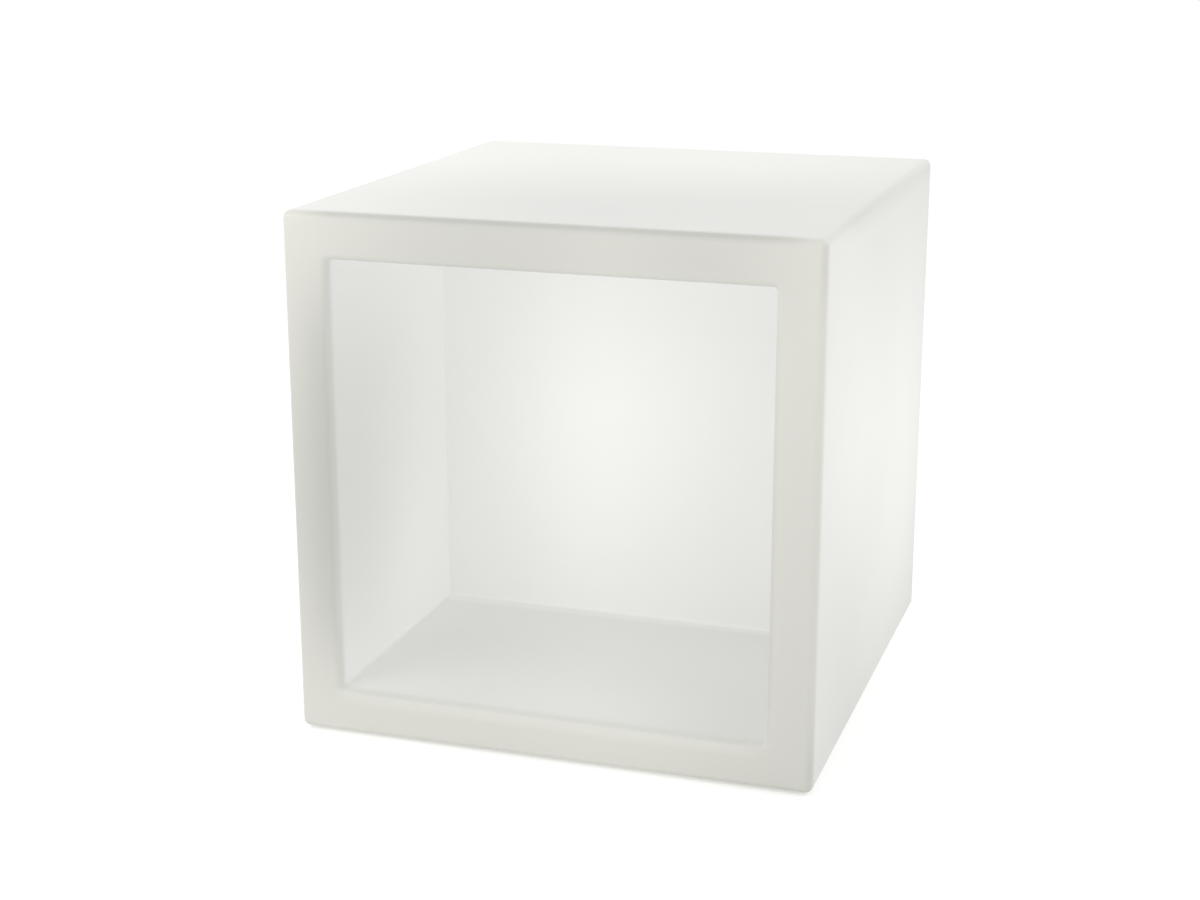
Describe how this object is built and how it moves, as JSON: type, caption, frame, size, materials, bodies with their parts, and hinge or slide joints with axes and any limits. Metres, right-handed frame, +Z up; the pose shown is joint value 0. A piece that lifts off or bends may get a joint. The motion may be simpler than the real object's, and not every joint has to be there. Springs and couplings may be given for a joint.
{
  "type": "led cube light",
  "caption": "Hollow moulded light cube with an open display bay in front and a rear light unit with a push button and a capped charging socket.",
  "frame": {"origin": "on the floor, under the middle of the cube", "axes": "+X to the right seen from the front, +Y from the open front to the rear cover, +Z up"},
  "size_m": [0.43, 0.45, 0.432],
  "materials": {
    "shell": "satin",
    "cover": "satin",
    "rubber": "matte",
    "steel": "satin",
    "brass": "satin",
    "button_metal": "satin",
    "spring_steel": "gloss",
    "black_plastic": "matte",
    "membrane": "matte",
    "lens": "gloss",
    "spacer": "satin",
    "board": "satin",
    "aluminium": "satin",
    "cells": "satin",
    "contacts": "satin",
    "strip": "satin",
    "chips": "gloss",
    "opal": "satin",
    "wire": "satin"
  },
  "bodies": {
    "cube": {"shell": "shell", "service_cover": "cover", "feet": "rubber", "cover_gasket": "rubber", "button_seal": "rubber", "socket_seal": "rubber", "vent_seal": "rubber", "cap_anchor": "rubber", "lead_grommet": "rubber", "foot_screws": "steel", "cover_washers": "steel", "cover_screws": "steel", "clamp_screws": "steel", "carrier_screws": "steel", "opal_screws": "steel", "chassis_screws": "steel", "battery_clamp": "steel", "foot_inserts": "brass", "cover_inserts": "brass", "socket_pin": "brass", "button_housing": "button_metal", "button_spring": "spring_steel", "button_nut": "black_plastic", "switch_block": "black_plastic", "charge_socket": "black_plastic", "socket_nut": "black_plastic", "vent_plug": "black_plastic", "vent_nut": "black_plastic", "battery_tray": "black_plastic", "remote_receiver": "black_plastic", "board_parts": "black_plastic", "vent_membrane": "membrane", "indicator_lens": "lens", "lower_standoffs": "spacer", "upper_standoffs": "spacer", "control_board": "board", "chassis_plate": "aluminium", "lamp_carrier": "aluminium", "battery_cells": "cells", "battery_contacts": "contacts", "light_strips": "strip", "light_chips": "chips", "opal_cover": "opal", "button_lead": "wire", "charge_lead": "wire", "battery_lead": "wire", "lamp_lead": "wire"},
    "power_button": {"power_button": "button_metal"},
    "port_cap": {"port_cap": "rubber"}
  },
  "joints": [
    {"name": "button_press", "type": "slide", "parent": "cube", "child": "power_button", "axis": [0, -1, 0], "range_m": [0, 0.002], "stiffness_N_per_m": 800, "springref_m": -0.002, "deforming": ["button_spring"]},
    {"name": "cap_hinge", "type": "hinge", "parent": "cube", "child": "port_cap", "pos_m": [-0.027, 0.2158, 0.226], "axis": [1, 0, 0], "range_deg": [0, 120]}
  ]
}
